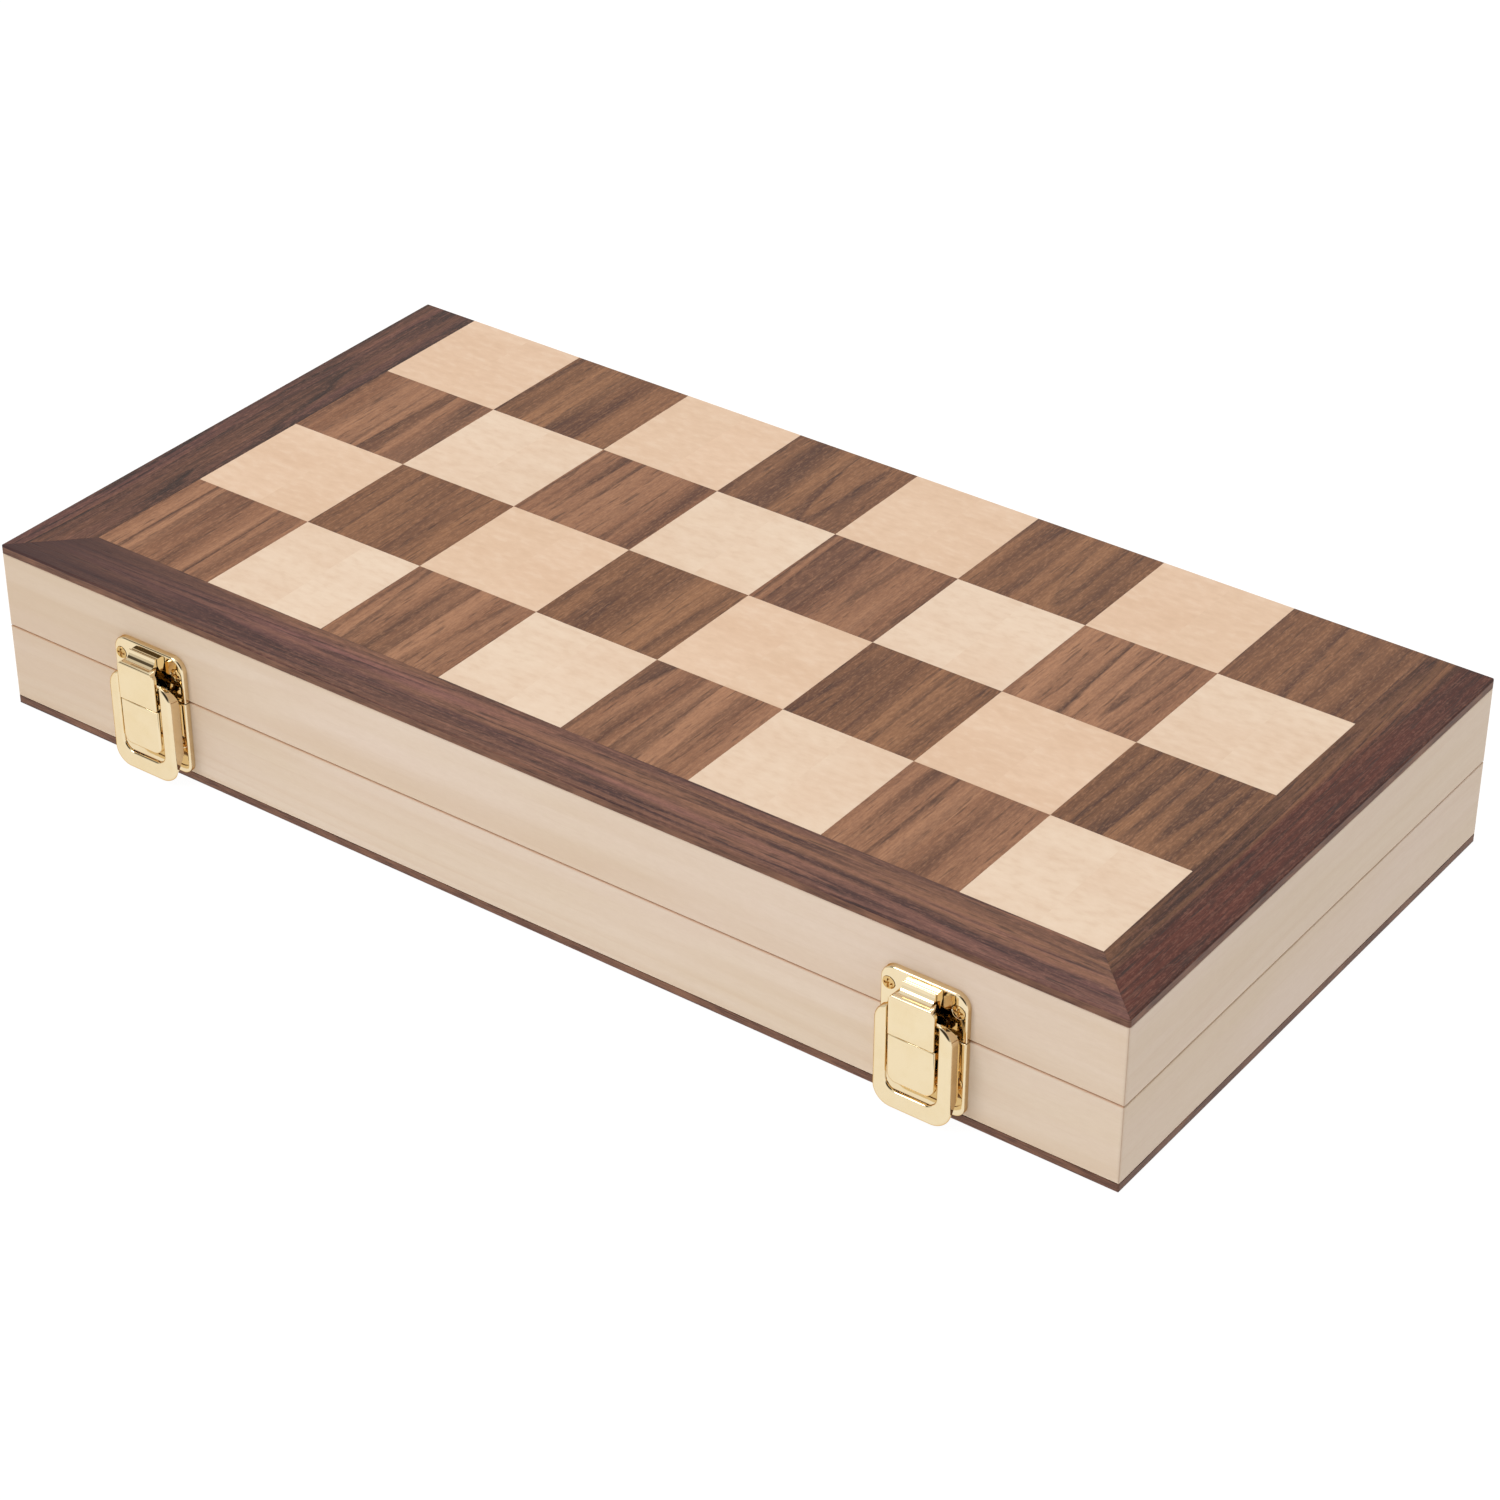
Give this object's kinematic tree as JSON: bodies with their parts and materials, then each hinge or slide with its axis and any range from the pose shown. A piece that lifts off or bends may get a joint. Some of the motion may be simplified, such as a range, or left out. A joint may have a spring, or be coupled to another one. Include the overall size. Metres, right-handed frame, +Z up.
{
  "type": "folding game board case",
  "caption": "Folding wooden chess and backgammon case with an inlaid board outside, brass hinges and two toggle latches.",
  "frame": {"origin": "centre of the underside of the wooden case, on the surface it stands on", "axes": "+X along the case to the right as seen from the latches, +Y from the latches to the hinges, +Z up; the lid is shut"},
  "size_m": [0.4, 0.2101, 0.0567],
  "materials": {
    "maple_wall": "satin lacquered pale maple",
    "core_panel": "stained panel edge",
    "walnut_border": "satin lacquered dark walnut veneer",
    "walnut_square": "satin lacquered walnut veneer",
    "maple_square": "satin lacquered maple veneer",
    "field_veneer": "satin lacquered floor veneer",
    "dark_point": "satin lacquered walnut inlay",
    "light_point": "satin lacquered mid-brown inlay",
    "hinge_brass": "polished brass plate",
    "latch_brass": "polished brass plate",
    "pin_brass": "plain brass wire",
    "screw_brass": "brass plated screw"
  },
  "bodies": {
    "case": {"base_front_wall": "maple_wall", "base_back_wall": "maple_wall", "base_left_wall": "maple_wall", "base_right_wall": "maple_wall", "base_core_panel": "core_panel", "base_border_front": "walnut_border", "base_border_left": "walnut_border", "base_border_right": "walnut_border", "base_walnut_squares": "walnut_square", "base_maple_squares": "maple_square", "base_field": "field_veneer", "base_dark_points": "dark_point", "base_light_points": "light_point", "left_hinge_base_leaf": "hinge_brass", "left_hinge_pin": "pin_brass", "left_latch_base_plate": "latch_brass", "left_latch_lever_pin": "pin_brass", "right_hinge_base_leaf": "hinge_brass", "right_hinge_pin": "pin_brass", "right_latch_base_plate": "latch_brass", "right_latch_lever_pin": "pin_brass", "hinge_base_screws": "screw_brass", "latch_base_screws": "screw_brass"},
    "lid": {"lid_front_wall": "maple_wall", "lid_back_wall": "maple_wall", "lid_left_wall": "maple_wall", "lid_right_wall": "maple_wall", "lid_core_panel": "core_panel", "lid_border_front": "walnut_border", "lid_border_left": "walnut_border", "lid_border_right": "walnut_border", "lid_walnut_squares": "walnut_square", "lid_maple_squares": "maple_square", "lid_field": "field_veneer", "lid_dark_points": "dark_point", "lid_light_points": "light_point", "left_hinge_lid_leaf": "hinge_brass", "left_latch_strike_plate": "latch_brass", "right_hinge_lid_leaf": "hinge_brass", "right_latch_strike_plate": "latch_brass", "hinge_lid_screws": "screw_brass", "latch_strike_screws": "screw_brass"},
    "left_lever": {"left_latch_lever": "latch_brass", "left_latch_hook_rivets": "pin_brass"},
    "left_hook": {"left_latch_hook": "latch_brass"},
    "right_lever": {"right_latch_lever": "latch_brass", "right_latch_hook_rivets": "pin_brass"},
    "right_hook": {"right_latch_hook": "latch_brass"}
  },
  "joints": [
    {"name": "lid_hinge", "type": "hinge", "parent": "case", "child": "lid", "pos_m": [0, 0.10015, 0.02835], "axis": [-1, 0, 0], "range_deg": [0, 180]},
    {"name": "left_lever_turn", "type": "hinge", "parent": "case", "child": "left_lever", "pos_m": [-0.139, -0.1057, 0.03155], "axis": [-1, 0, 0], "range_deg": [0, 100]},
    {"name": "left_hook_turn", "type": "hinge", "parent": "left_lever", "child": "left_hook", "pos_m": [-0.139, -0.1053, 0.0279], "axis": [-1, 0, 0], "range_deg": [-100, 0]},
    {"name": "right_lever_turn", "type": "hinge", "parent": "case", "child": "right_lever", "pos_m": [0.139, -0.1057, 0.03155], "axis": [-1, 0, 0], "range_deg": [0, 100]},
    {"name": "right_hook_turn", "type": "hinge", "parent": "right_lever", "child": "right_hook", "pos_m": [0.139, -0.1053, 0.0279], "axis": [-1, 0, 0], "range_deg": [-100, 0]}
  ],
  "couplings": [
    {"joint": "left_hook_turn", "follows": "left_lever_turn", "ratio": -1},
    {"joint": "right_hook_turn", "follows": "right_lever_turn", "ratio": -1}
  ]
}
